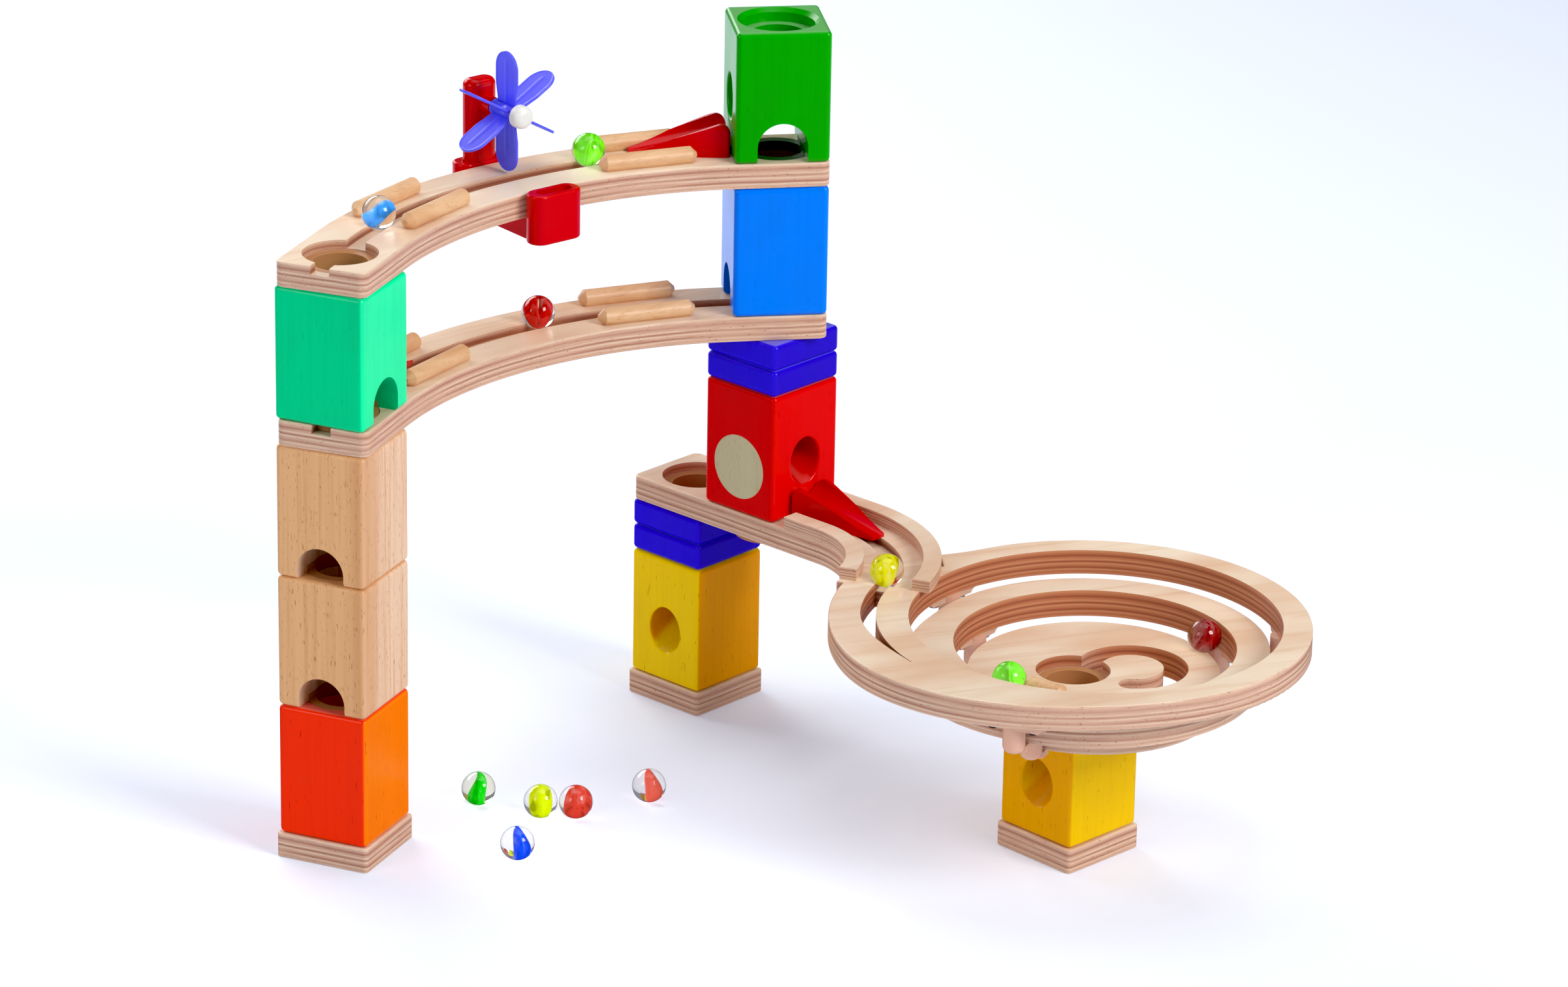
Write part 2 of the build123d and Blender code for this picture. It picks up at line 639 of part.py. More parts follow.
def build():
    nodes = {}
    left = (LEFT_X, LEFT_Y)
    middle = (MIDDLE_X, MIDDLE_Y)
    right = (RIGHT_X, RIGHT_Y)

    nodes["base_plate_left"] = place(base_plate(), *left, 0, LEFT_YAW)
    nodes["base_plate_middle"] = place(base_plate(), *middle, 0, LAUNCH_YAW)
    nodes["base_plate_right"] = place(base_plate(), *right, 0, RIGHT_YAW)

    nodes["block_orange"] = place(passing_block(()), *left, BASE_TOP, LEFT_YAW)
    nodes["block_natural_lower"] = place(passing_block((-90,), LOW_ARCH_H), *left, LEFT_1, LEFT_YAW)
    nodes["block_natural_upper"] = place(passing_block((-90,), LOW_ARCH_H), *left, LEFT_2, LEFT_YAW)
    nodes["block_teal"] = place(exit_block(90, (0, 180)), *left, LEFT_4, LEFT_YAW)
    nodes["block_yellow_middle"] = place(exit_block(-90), *middle, BASE_TOP, LAUNCH_YAW)
    nodes["block_yellow_right"] = place(exit_block(-90), *right, BASE_TOP, RIGHT_YAW)
    nodes["block_blue"] = place(passing_block((180,)), 0, 0, LEFT_4, TOP_YAW)
    nodes["block_green"] = place(exit_block(180, (90, -90), True), 0, 0, TOP_DECK, TOP_YAW)

    red = exit_block(0)
    plug_turn = Rot(90, 0, 0)
    red -= Pos(0, -BLOCK / 4, PLUG_Z) * (plug_turn * Cylinder(EXIT_R, BLOCK / 2))
    plug = Pos(0, (PLUG_T - BLOCK) / 2, PLUG_Z) * (plug_turn * Cylinder(PLUG_R, PLUG_T))
    red -= Pos(0, (PLUG_T - BLOCK - OVER) / 2, PLUG_Z) * (plug_turn * Cylinder(PLUG_R, PLUG_T + OVER))
    nodes["block_red"] = place(red, 0, 0, LAUNCH_TOP, LAUNCH_YAW)
    nodes["block_red_side_plug"] = place(plug, 0, 0, LAUNCH_TOP, LAUNCH_YAW)

    nodes["spacer_middle_lower"] = place(spacer(), *middle, MIDDLE_1, LAUNCH_YAW)
    nodes["spacer_middle_upper"] = place(spacer(), *middle, MIDDLE_2, LAUNCH_YAW)
    nodes["spacer_back_lower"] = place(spacer(), 0, 0, RED_TOP, LAUNCH_YAW)
    nodes["spacer_back_upper"] = place(spacer(), 0, 0, RED_2, LAUNCH_YAW)

    rail = curved_rail()
    nodes["rail_upper"] = Pos(0, 0, TOP_RAIL) * rail
    nodes["rail_lower"] = Pos(0, 0, LOW_RAIL) * rail
    nodes["guard_pegs_upper"] = rail_pegs(TOP_DECK)
    nodes["guard_pegs_lower"] = rail_pegs(LEFT_4)

    nodes["launch_board"] = Pos(0, 0, LAUNCH) * launch_board()
    nodes["guard_wall_near"] = Pos(0, 0, LAUNCH_TOP) * guard_wall(False, 30.0)
    nodes["guard_wall_far"] = Pos(0, 0, LAUNCH_TOP) * guard_wall(True, 24.5)

    nodes["ramp_green_block"] = place(ramp(), 0, 0, TOP_DECK, START_BEARING)
    nodes["ramp_teal_block"] = place(ramp(), *left, LEFT_4, END_BEARING - 180)
    nodes["ramp_red_block"] = place(ramp(), 0, 0, LAUNCH_TOP, LAUNCH_YAW)

    seats = [(BASE_TOP, RING_SEAT, ()), (LEFT_1, RING_SEAT, (-90,)), (LEFT_2, RING_SEAT, (-90,)),
             (LOW_RAIL, RAIL_RING_SEAT, ()), (LEFT_4, RING_SEAT, (0, 180)),
             (TOP_RAIL, RAIL_RING_SEAT, ())]
    nodes["rings_left_tower"] = group(stack_rings(*left, LEFT_YAW, seats))
    seats = [(BASE_TOP, RING_SEAT, ()), (MIDDLE_1, RING_SEAT, ()), (MIDDLE_2, RING_SEAT, ()),
             (LAUNCH, RAIL_RING_SEAT, ())]
    nodes["rings_middle_tower"] = group(stack_rings(*middle, LAUNCH_YAW, seats))
    seats = [(LAUNCH, RAIL_RING_SEAT, ()), (LAUNCH_TOP, RING_SEAT, ()), (RED_TOP, RING_SEAT, ()),
             (RED_2, RING_SEAT, ()), (LOW_RAIL, RAIL_RING_SEAT, ()), (LEFT_4, RING_SEAT, (180,)),
             (TOP_RAIL, RAIL_RING_SEAT, ())]
    nodes["rings_back_tower"] = group(stack_rings(0, 0, TOP_YAW, seats))
    nodes["ring_green_block"] = place(connector_ring(RING_SEAT, (90, -90)), 0, 0, TOP_DECK, TOP_YAW)
    seats = [(BASE_TOP, RING_SEAT, ()), (MIDDLE_1, RAIL_RING_SEAT, ())]
    nodes["rings_right_tower"] = group(stack_rings(*right, RIGHT_YAW, seats))

    upper, screws = bracket_set(RING_1_IN, RING_2_OUT, RING_2_BULGE, 0, UPPER_BRACKETS)
    lower, more = bracket_set(RING_2_IN, DISC_OUT, DISC_BULGE, 1, LOWER_BRACKETS)
    levels = {"top": top_level(), "middle": middle_level(), "bottom": bottom_level()}
    for level, plate in levels.items():
        plate -= group(screws + more)
        nodes["spiral_level_" + level] = plate
    nodes["spiral_brackets_upper"] = group(upper)
    nodes["spiral_brackets_lower"] = group(lower)
    nodes["spiral_screws"] = group(screws + more)
    peg = guard_peg(SPIRAL_PEG_LENGTH)
    nodes["spiral_guard_peg"] = place(peg, *SPIRAL_PEG, LEVEL[2], SPIRAL_PEG_YAW)

    nodes["windmill_clip"] = on_rail(windmill_clip())
    nodes["windmill_post"] = on_rail(windmill_post())
    nodes["windmill_axle"] = on_rail(windmill_axle())
    nodes["windmill_rotor"] = on_rail(windmill_rotor())
    nodes["windmill_cap"] = on_rail(windmill_cap())

    for name, (angle, deck) in RAIL_MARBLES.items():
        nodes[name] = marble(*polar(RAIL_R, angle, ARC_CENTRE), deck + GROOVE_RISE)
    outlet = polar(BEND_R, BEND_FIRST - BEND_TURN + 3, BEND_CENTRE)
    nodes["marble_yellow_green"] = marble(*outlet, LAUNCH_TOP + GROOVE_RISE)
    x, y = polar(RING_2_IN - MARBLE_R - 0.1, 24.3, SPIRAL)
    nodes["marble_dark_red"] = marble(x, y, LEVEL[2] + MARBLE_R + 0.02)
    x, y = polar(51.0, -142.6, SPIRAL)
    nodes["marble_green"] = marble(x, y, LEVEL[2] + MARBLE_R + 0.02)
    for name, (x, y) in FLOOR_MARBLES.items():
        nodes[name] = marble(x, y, MARBLE_R)
    return nodes


def main():
    os.makedirs("parts", exist_ok=True)
    nodes = build()
    box = group(nodes.values()).bounding_box()
    shift = Pos(-(box.min.X + box.max.X) / 2, -(box.min.Y + box.max.Y) / 2, -box.min.Z)
    print("origin shift", shift.position)
    for name, shape in nodes.items():
        export_step(shift * shape, f"parts/{name}.step")


main()
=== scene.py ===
"""The marble run's looks: stained and natural wood, plywood, plastics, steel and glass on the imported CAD."""

import json
import math

import bmesh
import bpy
from mathutils import Matrix, Vector


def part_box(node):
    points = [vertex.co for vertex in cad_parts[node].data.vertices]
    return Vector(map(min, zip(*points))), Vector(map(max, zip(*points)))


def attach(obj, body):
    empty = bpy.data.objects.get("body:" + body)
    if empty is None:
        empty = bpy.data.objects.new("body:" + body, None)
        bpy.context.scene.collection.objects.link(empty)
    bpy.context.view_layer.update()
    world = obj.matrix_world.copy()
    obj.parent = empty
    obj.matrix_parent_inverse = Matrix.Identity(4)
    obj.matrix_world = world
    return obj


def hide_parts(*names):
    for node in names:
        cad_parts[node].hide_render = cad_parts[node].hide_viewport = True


MM = 0.001

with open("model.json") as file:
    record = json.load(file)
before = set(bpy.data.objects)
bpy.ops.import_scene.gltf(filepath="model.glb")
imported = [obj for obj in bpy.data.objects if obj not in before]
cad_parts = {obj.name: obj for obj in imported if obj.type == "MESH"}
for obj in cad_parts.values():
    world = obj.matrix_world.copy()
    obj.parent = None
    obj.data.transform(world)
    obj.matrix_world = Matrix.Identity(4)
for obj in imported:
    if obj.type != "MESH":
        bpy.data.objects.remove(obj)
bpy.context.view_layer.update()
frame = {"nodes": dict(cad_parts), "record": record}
record = frame["record"]
nodes = frame["nodes"]
joints = {joint["name"]: joint for joint in record["behaviour"]["joints"]}


# ---------------------------------------------------------------- materials


def paint(red, green, blue):
    """A colour as it looks on a screen, 0 to 255, turned into the linear values that shaders take."""
    linear = [((c / 255 + 0.055) / 1.055) ** 2.4 if c > 10 else c / 255 / 12.92 for c in (red, green, blue)]
    return (*linear, 1.0)


class Shader:
    """One material's node tree, with short names for what the recipes below repeat."""

    def __init__(self, name):
        self.material = bpy.data.materials.new(name)
        self.material.use_nodes = True
        self.tree = self.material.node_tree
        self.tree.nodes.clear()
        self.output = self.add("ShaderNodeOutputMaterial")
        self.coords = self.add("ShaderNodeTexCoord")
        self.place = self.coords.outputs["Object"]

    def add(self, kind, **settings):
        node = self.tree.nodes.new(kind)
        for key, value in settings.items():
            setattr(node, key, value)
        return node

    def feed(self, socket, value):
        if isinstance(value, bpy.types.NodeSocket):
            self.tree.links.new(value, socket)
        else:
            socket.default_value = value

    def stretch(self, scale, turn=0.0):
        """The object's own coordinates, turned about Z by degrees and then scaled along each axis."""
        turned = self.add("ShaderNodeMapping", vector_type="TEXTURE")
        turned.inputs["Rotation"].default_value = (0, 0, math.radians(turn))
        self.feed(turned.inputs["Vector"], self.place)
        scaled = self.add("ShaderNodeMapping")
        scaled.inputs["Scale"].default_value = scale
        self.feed(scaled.inputs["Vector"], turned.outputs["Vector"])
        return scaled.outputs["Vector"]

    def noise(self, scale, turn=0.0, detail=2.0, distortion=0.0):
        """Soft noise from 0 to 1 with that many bumps per metre along each axis."""
        node = self.add("ShaderNodeTexNoise")
        node.inputs["Scale"].default_value = 1.0
        node.inputs["Detail"].default_value = detail
        node.inputs["Distortion"].default_value = distortion
        self.feed(node.inputs["Vector"], self.stretch(scale, turn))
        return node.outputs["Fac"]

    def maths(self, operation, first, second=0.0):
        node = self.add("ShaderNodeMath", operation=operation)
        self.feed(node.inputs[0], first)
        self.feed(node.inputs[1], second)
        return node.outputs[0]

    def between(self, value, low, high):
        """value, eased from 0 at low to 1 at high."""
        node = self.add("ShaderNodeMapRange", interpolation_type="SMOOTHSTEP")
        self.feed(node.inputs["Value"], value)
        node.inputs["From Min"].default_value = low
        node.inputs["From Max"].default_value = high
        return node.outputs["Result"]

    def mix(self, factor, first, second, blend="MIX"):
        node = self.add("ShaderNodeMix", data_type="RGBA", blend_type=blend)
        self.feed(node.inputs["Factor"], factor)
        self.feed(node.inputs["A"], first)
        self.feed(node.inputs["B"], second)
        return next(o for o in node.outputs if o.type == "RGBA")

    def bands(self, value, stops):
        """A colour ramp through (place, colour) pairs."""
        ramp = self.add("ShaderNodeValToRGB")
        elements = ramp.color_ramp.elements
        while len(elements) < len(stops):
            elements.new(0.5)
        for element, (at, colour) in zip(elements, stops):
            element.position = at
            element.color = colour
        self.feed(ramp.inputs["Fac"], value)
        return ramp.outputs["Color"]

    def reflected(self):
        """1 where a surface is seen in a reflection, and 0 where it is seen directly or through glass."""
        path = self.add("ShaderNodeLightPath")
        direct = self.maths("SUBTRACT", 1.0, path.outputs["Is Transmission Ray"])
        return self.maths("MULTIPLY", path.outputs["Is Glossy Ray"], direct)

    def facing(self, direction, low=0.3, high=0.8):
        """1 on faces whose normal points along a direction, and 0 on the others."""
        dot = self.add("ShaderNodeVectorMath", operation="DOT_PRODUCT")
        self.feed(dot.inputs[0], self.coords.outputs["Normal"])
        dot.inputs[1].default_value = direction
        return self.between(dot.outputs["Value"], low, high)

    def bump(self, height, strength, depth):
        node = self.add("ShaderNodeBump")
        node.inputs["Strength"].default_value = strength
        node.inputs["Distance"].default_value = depth
        self.feed(node.inputs["Height"], height)
        return node.outputs["Normal"]

    def surface(self, colour, roughness, normal=None, **inputs):
        """Ends the tree in a principled surface; inputs are its other sockets, with _ for a space."""
        shader = self.add("ShaderNodeBsdfPrincipled")
        self.feed(shader.inputs["Base Color"], colour)
        self.feed(shader.inputs["Roughness"], roughness)
        if normal is not None:
            self.feed(shader.inputs["Normal"], normal)
        for key, value in inputs.items():
            self.feed(shader.inputs[key.replace("_", " ")], value)
        self.feed(self.output.inputs["Surface"], shader.outputs[0])
        return self.material


RIGHT = (0.85, -0.52, 0.0)             # the way that the towers' right-hand faces look, roughly
GRAIN_SHADE = (0.8, 0.72, 0.75, 1.0)   # what the grain's darker streaks multiply a stain by
PORE_SHADE = (0.3, 0.25, 0.25, 1.0)    # the same for its pores
TOP_SHEEN = (0.8, 0.85, 0.75, 1.0)      # a pale painted sheen, mixed a little into the tops


def stained_wood(name, colour, right, pores=0.25):
    """Semi-gloss stain over wood whose grain runs up the block.

    The right-hand faces get a colour of their own, partly the stain taken differently and partly painted light
    and shade on that side, and the tops get a pale painted sheen.
    """
    s = Shader(name)
    streaks = s.noise((520, 520, 16), detail=4.0, distortion=0.3)
    clouds = s.noise((38, 38, 22))
    specks = s.noise((1500, 1500, 150), detail=1.0)
    # the right-hand faces' own colour: partly the stain, partly painted light and shade on that side
    tone = s.mix(s.facing(RIGHT, 0.5, 0.8), colour, right)
    deeper = s.mix(1.0, tone, GRAIN_SHADE, "MULTIPLY")
    tone = s.mix(s.maths("MULTIPLY", s.between(streaks, 0.42, 0.72), 0.18), tone, deeper)
    tone = s.mix(s.maths("MULTIPLY", s.between(clouds, 0.4, 0.85), 0.35), tone, deeper)
    pitted = s.between(specks, 0.7, 0.78)
    dark = s.mix(1.0, tone, PORE_SHADE, "MULTIPLY")
    tone = s.mix(s.maths("MULTIPLY", pitted, pores), tone, dark)
    # painted sheen: the tops are mixed a little towards a pale colour
    top_sheen = s.maths("MULTIPLY", s.facing((0.0, 0.0, 1.0), 0.8, 0.97), 0.17)
    tone = s.mix(top_sheen, tone, TOP_SHEEN)
    relief = s.maths("SUBTRACT", s.maths("MULTIPLY", streaks, 0.3), pitted)
    rough = s.maths("MULTIPLY_ADD", clouds, 0.1)
    rough.node.inputs[2].default_value = 0.2
    return s.surface(tone, rough, s.bump(relief, 0.15, 0.0001), Specular_IOR_Level=0.3)


def natural_wood(name, light, mid, fleck, turn=0.0, along=(620, 620, 13), pores=(1700, 1700, 260),
                 amount=0.6, right=None):
    """Lacquered rubberwood: long soft streaks with short dark pores along the grain.

    along and pores give the streaks and pores per metre on each axis, and amount how dark the pores are.
    """
    s = Shader(name)
    streaks = s.noise(along, turn, detail=4.0, distortion=0.25)
    broad = s.noise(tuple(c * 0.16 for c in along), turn, detail=2.0)
    specks = s.noise(pores, turn, detail=1.0)
    # the right-hand faces' own colour: partly paler wood, partly painted light and shade on that side
    pale = light if right is None else s.mix(s.facing(RIGHT, 0.5, 0.8), light, right)
    tone = s.mix(s.maths("MULTIPLY", s.between(broad, 0.35, 0.7), 0.7), pale, mid)
    tone = s.mix(s.maths("MULTIPLY", s.between(streaks, 0.45, 0.75), 0.6), tone, mid)
    pitted = s.between(specks, 0.65, 0.73)
    tone = s.mix(s.maths("MULTIPLY", pitted, amount), tone, fleck)
    relief = s.maths("SUBTRACT", s.maths("MULTIPLY", streaks, 0.35), pitted)
    return s.surface(tone, 0.38, s.bump(relief, 0.4, 0.00012), Specular_IOR_Level=0.4)


PLY_WANDER = 0.09   # how far a layer strays up and down, as a part of the board's thickness


def plywood(name, turn=0.0, hub=None):
    """Birch veneer on the flat faces and its crossed layers, one dark and one pale, on the sawn edges.

    Walls that look inwards, towards the hub of the spiral, get painted shade: a darker copy of the layers.
    """
    s = Shader(name)
    grain = s.noise((7, 150, 150), turn, detail=3.0, distortion=0.6)
    cloud = s.noise((11, 26, 26), turn, detail=3.0)
    fine = s.noise((60, 1100, 1100), turn, detail=2.0)
    face = s.mix(s.between(cloud, 0.35, 0.7), paint(243, 222, 196), paint(230, 192, 160))
    face = s.mix(s.maths("MULTIPLY", s.between(grain, 0.5, 0.75), 0.55), face, paint(220, 176, 138))
    face = s.mix(s.maths("MULTIPLY", s.between(fine, 0.6, 0.8), 0.3), face, paint(204, 156, 122))
    height = s.add("ShaderNodeSeparateXYZ")
    s.feed(height.inputs[0], s.coords.outputs["Generated"])
    wander = s.maths("MULTIPLY", s.noise((20, 20, 120), detail=3.0), PLY_WANDER)
    level = s.maths("ADD", height.outputs["Z"], s.maths("SUBTRACT", wander, PLY_WANDER / 2))
    pale, pink, brown = paint(232, 198, 170), paint(214, 168, 142), paint(182, 128, 104)
    plies = [pale, pink, pale, brown, pink, pale, brown, pale, pink, brown, pink, pale]
    stops = []
    for ply, tone in enumerate(plies):
        low = ply / len(plies)
        stops.append((low + 0.015, tone))
        stops.append((low + 0.05, tone))
    layers = s.bands(level, stops)
    crossed = layers
    fade = s.between(s.noise((16, 16, 260), detail=2.0), 0.4, 0.65)
    layers = s.mix(s.maths("MULTIPLY", fade, 0.6), layers, paint(218, 174, 146))
    fibres = s.noise((70, 70, 2600), detail=3.0)
    layers = s.mix(s.maths("MULTIPLY", s.between(fibres, 0.5, 0.72), 0.4), layers, paint(176, 120, 96))
    pits = s.noise((650, 650, 1500), detail=1.0)
    layers = s.mix(s.maths("MULTIPLY", s.between(pits, 0.66, 0.76), 0.5), layers, paint(118, 66, 46))
    # painted shade on the walls that face the hub of the spiral
    if hub is not None:
        outwards = s.add("ShaderNodeVectorMath", operation="SUBTRACT")
        s.feed(outwards.inputs[0], s.place)
        outwards.inputs[1].default_value = hub
        dot = s.add("ShaderNodeVectorMath", operation="DOT_PRODUCT")
        s.feed(dot.inputs[0], outwards.outputs["Vector"])
        s.feed(dot.inputs[1], s.coords.outputs["Normal"])
        inwards = s.between(dot.outputs["Value"], 0.0, -0.03)
        painted_inner_shade = s.mix(1.0, crossed, paint(222, 178, 150), "MULTIPLY")
        layers = s.mix(inwards, layers, painted_inner_shade)
    # painted shade in grooves and crevices, from ambient occlusion
    hollow = s.add("ShaderNodeAmbientOcclusion", samples=6, only_local=True)
    hollow.inputs["Distance"].default_value = 0.006
    deep = s.between(hollow.outputs["AO"], 0.95, 0.55)
    layers = s.mix(deep, layers, s.mix(1.0, layers, paint(170, 112, 84), "MULTIPLY"))
    up = s.add("ShaderNodeSeparateXYZ")
    s.feed(up.inputs[0], s.coords.outputs["Normal"])
    flat = s.between(s.maths("ABSOLUTE", up.outputs["Z"]), 0.6, 0.9)
    tone = s.mix(flat, layers, face)
    relief = s.maths("ADD", grain, s.maths("MULTIPLY", fibres, 0.5))
    return s.surface(tone, 0.36, s.bump(relief, 0.22, 0.0001), Specular_IOR_Level=0.5)


def moulded(name, colour, roughness, **inputs):
    """Moulded plastic: an even colour with the slight unevenness of a mould's skin."""
    s = Shader(name)
    skin = s.noise((900, 900, 900), detail=2.0)
    cloud = s.noise((60, 60, 60))
    tone = s.mix(s.maths("MULTIPLY", cloud, 0.25), colour, tuple(c * 0.8 for c in colour[:3]) + (1.0,))
    rough = s.maths("MULTIPLY_ADD", cloud, 0.1)
    rough.node.inputs[2].default_value = roughness - 0.05
    return s.surface(tone, rough, s.bump(skin, 0.03, 0.00004), **inputs)


def brushed_steel(name):
    s = Shader(name)
    lines = s.noise((4000, 4000, 120), detail=2.0)
    tone = s.mix(s.between(lines, 0.3, 0.7), paint(205, 206, 210), paint(160, 162, 168))
    return s.surface(tone, 0.25, s.bump(lines, 0.2, 0.00003), Metallic=1.0)


def clear_glass(name, tint):
    """Marble glass, clear to light on its way to the floor, so that its shadow stays pale."""
    s = Shader(name)
    s.surface(tint, 0.015, IOR=1.5, Transmission_Weight=1.0)
    glass = s.output.inputs["Surface"].links[0].from_socket
    through = s.add("ShaderNodeBsdfTransparent")
    through.inputs["Color"].default_value = tuple(0.55 + 0.45 * c for c in tint[:3]) + (1.0,)
    both = s.add("ShaderNodeMixShader")
    s.feed(both.inputs[0], s.add("ShaderNodeLightPath").outputs["Is Shadow Ray"])
    s.feed(both.inputs[1], glass)
    s.feed(both.inputs[2], through.outputs[0])
    s.feed(s.output.inputs["Surface"], both.outputs[0])
    return s.material


def middle_of(node):
    low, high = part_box(node)
    return (Vector(low) + Vector(high)) / 2


# the second colour of each stain, and the natural wood's right, colour the right-hand faces: partly the wood's
# own tone, partly painted light and shade
MATERIALS = {
    "stain_green": stained_wood("stain_green", paint(12, 162, 0), paint(12, 172, 0)),
    "stain_blue": stained_wood("stain_blue", paint(0, 120, 250), paint(0, 130, 250)),
    "stain_teal": stained_wood("stain_teal", paint(0, 216, 140), paint(20, 248, 168)),
    "stain_red": stained_wood("stain_red", paint(222, 2, 0), paint(232, 6, 2), pores=0.5),
    "stain_orange": stained_wood("stain_orange", paint(255, 48, 0), paint(255, 124, 0), pores=0.6),
    "stain_yellow": stained_wood("stain_yellow", paint(236, 166, 0), paint(248, 200, 0), pores=0.8),
    "stain_purple": stained_wood("stain_purple", paint(44, 20, 232), paint(44, 20, 208), pores=0.5),
    "natural_wood": natural_wood("natural_wood", paint(236, 180, 124), paint(214, 152, 98),
                                 paint(150, 82, 44), right=paint(240, 204, 172)),
    "dowel_wood": natural_wood("dowel_wood", paint(232, 188, 144), paint(214, 160, 112), paint(184, 124, 80),
                               along=(60, 520, 520), pores=(140, 1500, 1500), amount=0.3, turn=39.0),
    "plug_wood": natural_wood("plug_wood", paint(206, 196, 156), paint(196, 186, 144), paint(110, 112, 76),
                              amount=0.35),
    "plywood": plywood("plywood", turn=39.0),
    "red_plastic": moulded("red_plastic", paint(212, 0, 12), 0.24, Specular_IOR_Level=0.3),
    "rotor_plastic": moulded("rotor_plastic", paint(98, 98, 255), 0.26, Specular_IOR_Level=0.3),
    "cap_white": moulded("cap_white", paint(238, 236, 230), 0.3),
    "ring_beige": moulded("ring_beige", paint(190, 134, 88), 0.5),
    "ring_green": moulded("ring_green", paint(14, 84, 8), 0.5),
    "bracket_plastic": moulded("bracket_plastic", paint(244, 196, 170), 0.35, Subsurface_Weight=0.5,
                               Subsurface_Scale=0.004, Transmission_Weight=0.12),
    "steel": brushed_steel("steel"),
}
spiral_hub = middle_of("spiral_level_middle")
SPIRAL_PLY = plywood("plywood_spiral", turn=20.0, hub=spiral_hub)
FINISHES = {
    "block_yellow_middle": stained_wood("stain_yellow_middle", paint(252, 212, 0), paint(236, 156, 0),
                                        pores=0.8),
    "spiral_level_top": SPIRAL_PLY,
    "spiral_level_middle": SPIRAL_PLY,
    "spiral_level_bottom": SPIRAL_PLY,
}

SLOTS = {row["node"]: row["material_slot"] for row in record["subparts"]}
for name, node in nodes.items():
    material = FINISHES.get(name) or MATERIALS.get(SLOTS[name])
    if material is not None:
        node.data.materials.clear()
        node.data.materials.append(material)

# crisp facets on the dowels' turned ends
for name in ("guard_pegs_upper", "guard_pegs_lower", "spiral_guard_peg"):
    crisp = nodes[name].modifiers.new("crisp", "EDGE_SPLIT")
    crisp.split_angle = math.radians(30)


# ---------------------------------------------------------------- pieces


def piece(name, mesh, body, material):
    """A new object from a bmesh, riding on a body and finished as a slot."""
    data = bpy.data.meshes.new(name)
    mesh.to_mesh(data)
    mesh.free()
    for polygon in data.polygons:
        polygon.use_smooth = True
    data.materials.append(material)
    made = bpy.data.objects.new(name, data)
    bpy.context.collection.objects.link(made)
    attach(made, body)
    return made


def body_with(node):
    return next(body for body, members in record["behaviour"]["bodies"].items() if node in members)


def ribbon(mesh, radius, spin, width, depth, sway, belly, side):
    """Adds one closed ribbon of coloured glass to a mesh, as long as the ball is wide, along Z.

    It is width wide and depth thick in radii, stands out to one side, sways into an S, and its lower end
    is fatter by belly.
    """
    along, round_it = 28, 20
    turn = Matrix.Rotation(math.radians(spin), 3, "Z")
    rings = []
    for i in range(1, along):
        u = -math.cos(math.pi * i / along)
        taper = math.sqrt(1 - u * u) * (1 - belly * u)
        middle = side * (1 - u * u) + sway * math.sin(math.pi * u)
        ring = []
        for k in range(round_it):
            angle = math.tau * k / round_it
            x = middle + width * taper * math.cos(angle)
            fold = 0.35 * width * taper * math.cos(angle) ** 2
            y = depth * taper * math.sin(angle) + fold
            ring.append(mesh.verts.new(turn @ Vector((x, y, 0.9 * u)) * radius))
        rings.append(ring)
    for low, high in zip(rings, rings[1:]):
        for k in range(round_it):
            after = (k + 1) % round_it
            mesh.faces.new((low[k], low[after], high[after], high[k]))
    mesh.faces.new(rings[0][::-1])
    mesh.faces.new(rings[-1])


def glass_ball(node, colour, tint, turn, ribbons):
    """A glass marble: a clear ball round ribbons of coloured glass, turned about X, Y and Z by degrees."""
    centre = middle_of(node)
    radius = (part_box(node)[1][2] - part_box(node)[0][2]) / 2
    tilt = Matrix.Translation(centre)
    for angle, axis in zip(turn, "XYZ"):
        tilt = tilt @ Matrix.Rotation(math.radians(angle), 4, axis)
    ball = bmesh.new()
    bmesh.ops.create_uvsphere(ball, u_segments=64, v_segments=40, radius=radius)
    bmesh.ops.transform(ball, matrix=tilt, verts=ball.verts)
    glass = piece(f"{node}_glass", ball, body_with(node), clear_glass(f"{node}_glass", tint))
    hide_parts(node)
    core = bmesh.new()
    for shape in ribbons:
        ribbon(core, radius, *shape)
    bmesh.ops.transform(core, matrix=tilt, verts=core.verts)
    s = Shader(f"{node}_ribbons")
    swirl = s.noise((220, 220, 120), detail=2.0, distortion=1.2)
    pale = tuple(0.8 * c + 0.12 for c in colour[:3]) + (1.0,)
    deep = tuple(0.55 * c for c in colour[:3]) + (1.0,)
    tone = s.mix(s.between(swirl, 0.52, 0.72), colour, pale)
    tone = s.mix(s.between(swirl, 0.46, 0.3), tone, deep)
    # the ribbons glow a little in their own colour: painted light
    finish = s.surface(tone, 0.4, Specular_IOR_Level=0.15, Subsurface_Weight=0.1, Subsurface_Scale=0.002,
                       Emission_Color=colour, Emission_Strength=0.1)
    piece(f"{node}_ribbons", core, body_with(node), finish)


CLEAR = (0.95, 0.97, 0.96, 1.0)
SMOKY = (0.86, 0.84, 0.72, 1.0)
# ribbons: spin about the pole, width, depth, sway, belly, side
COMMA = [(0, 0.3, 0.22, 0.12, 0.65, 0.0)]
BULGE = [(0, 0.3, 0.22, -0.06, 0.6, 0.14)]
LEAF = [(0, 0.44, 0.24, 0.0, 0.0, 0.0)]
FAN = [(20, 0.3, 0.1, 0.06, 0.2, 0.3), (140, 0.3, 0.1, 0.06, 0.2, 0.3), (260, 0.3, 0.1, 0.06, 0.2, 0.3)]
PAIR = [(-12, 0.34, 0.18, 0.08, 0.0, 0.28), (168, 0.34, 0.18, 0.08, 0.0, 0.28)]
